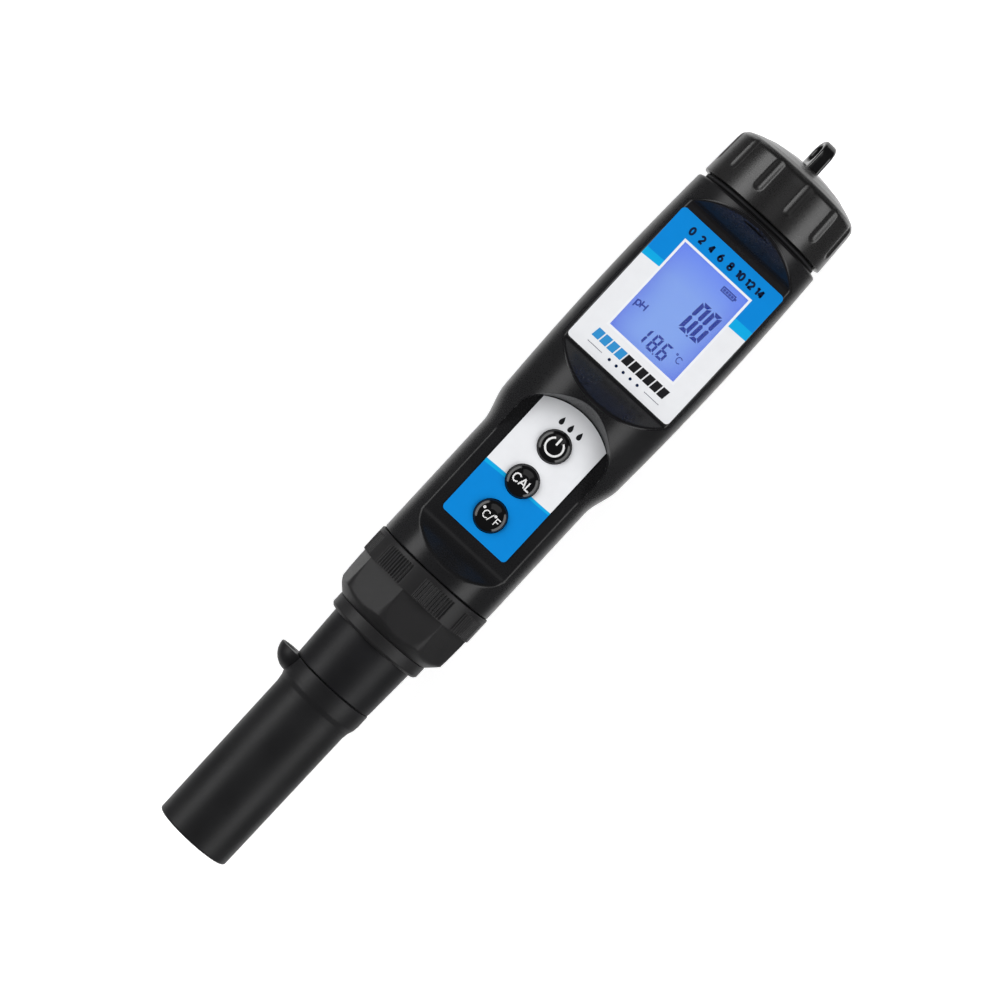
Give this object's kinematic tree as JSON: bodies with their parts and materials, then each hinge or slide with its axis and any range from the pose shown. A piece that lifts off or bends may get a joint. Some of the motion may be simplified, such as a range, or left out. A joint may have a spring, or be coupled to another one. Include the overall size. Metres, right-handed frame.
{
  "type": "digital ph meter",
  "caption": "Pen-type digital pH meter for brewing: display head, keypad grip, screw collar with electrode module, storage cap and screw battery cap.",
  "frame": {"origin": "on the resting flat's plane, under the middle of the pen's length and width", "axes": "+Y along the pen from the storage cap to the lanyard loop, +Z out of the display, +X to the display's right"},
  "size_m": [0.036, 0.2108, 0.0349],
  "materials": {
    "satin_black": "satin moulded plastic",
    "grained_black": "fine-grained moulded plastic",
    "collar_black": "satin moulded plastic",
    "cap_black": "satin moulded plastic",
    "gloss_black": "polished",
    "clear_pane": "clear",
    "display_print": "printed overlay, blue over white",
    "keypad_print": "printed overlay, white over blue",
    "display_glass": "lit display",
    "white_plastic": "matte",
    "light_guide": "light guide",
    "contact_rubber": "matte",
    "circuit_board": "solder mask",
    "chip_black": "moulded chip",
    "switch_metal": "pressed sheet",
    "grey_rubber": "matte",
    "black_rubber": "matte",
    "steel": "bright",
    "dark_plastic": "matte",
    "cell_jacket": "printed jacket over a metal can",
    "contact_brass": "bright",
    "ribbon": "polyimide film",
    "glass": "clear",
    "sponge": "wet foam"
  },
  "bodies": {
    "housing": {"housing": "satin_black", "display_bezel": "gloss_black", "lcd_window": "clear_pane", "display_label": "display_print", "keypad_label": "keypad_print", "lcd_glass": "display_glass", "lcd_frame": "white_plastic", "backlight": "light_guide", "zebra_strip": "contact_rubber", "main_board": "circuit_board", "microcontroller": "chip_black", "input_amplifier": "chip_black", "key_switches": "switch_metal", "keypad_seal": "grey_rubber", "board_screws": "steel", "chassis": "dark_plastic", "battery_1": "cell_jacket", "battery_2": "cell_jacket", "battery_3": "cell_jacket", "lower_contacts": "contact_brass", "battery_strip": "contact_brass", "connector_board": "circuit_board", "probe_socket": "dark_plastic", "sensor_ribbon": "ribbon", "cap_oring": "black_rubber", "rest_foot": "black_rubber"},
    "power_button": {"power_button": "gloss_black"},
    "calibration_button": {"calibration_button": "gloss_black"},
    "unit_button": {"unit_button": "gloss_black"},
    "contact_carrier": {"contact_carrier": "dark_plastic", "contact_springs": "contact_brass"},
    "battery_cap": {"battery_cap": "grained_black", "lanyard_loop": "gloss_black"},
    "collar": {"collar": "collar_black"},
    "probe": {"probe_body": "satin_black", "retaining_ring": "collar_black", "collar_oring": "black_rubber", "probe_oring": "black_rubber", "storage_oring": "black_rubber", "probe_plug": "contact_brass", "glass_stem": "glass", "ph_bulb": "glass", "silver_wire": "steel", "reference_junction": "white_plastic", "temperature_pin": "steel", "electrode_guard": "satin_black"},
    "storage_cap": {"storage_cap": "cap_black", "storage_sponge": "sponge"}
  },
  "joints": [
    {"name": "cap_lift", "type": "slide", "parent": "housing", "child": "contact_carrier", "axis": [0, 1, 0], "range_m": [0, 0.01]},
    {"name": "cap_turn", "type": "hinge", "parent": "contact_carrier", "child": "battery_cap", "pos_m": [0, 0.088, 0.0172], "axis": [0, 1, 0], "range_deg": [0, 1440]},
    {"name": "probe_pull", "type": "slide", "parent": "housing", "child": "probe", "axis": [0, -1, 0], "range_m": [0, 0.01]},
    {"name": "collar_turn", "type": "hinge", "parent": "probe", "child": "collar", "pos_m": [0, -0.035, 0.0172], "axis": [0, -1, 0], "range_deg": [0, 1440]},
    {"name": "storage_cap_pull", "type": "slide", "parent": "probe", "child": "storage_cap", "axis": [0, -1, 0], "range_m": [0, 0.055]},
    {"name": "power_press", "type": "slide", "parent": "housing", "child": "power_button", "axis": [0, 0, -1], "range_m": [0, 0.0006], "stiffness_N_per_m": 600, "springref_m": -0.0006},
    {"name": "calibration_press", "type": "slide", "parent": "housing", "child": "calibration_button", "axis": [0, 0, -1], "range_m": [0, 0.0006], "stiffness_N_per_m": 600, "springref_m": -0.0006},
    {"name": "unit_press", "type": "slide", "parent": "housing", "child": "unit_button", "axis": [0, 0, -1], "range_m": [0, 0.0006], "stiffness_N_per_m": 600, "springref_m": -0.0006}
  ],
  "couplings": [
    {"joint": "cap_turn", "follows": "cap_lift", "rad_per_m": 2513.3},
    {"joint": "collar_turn", "follows": "probe_pull", "rad_per_m": 2513.3}
  ]
}
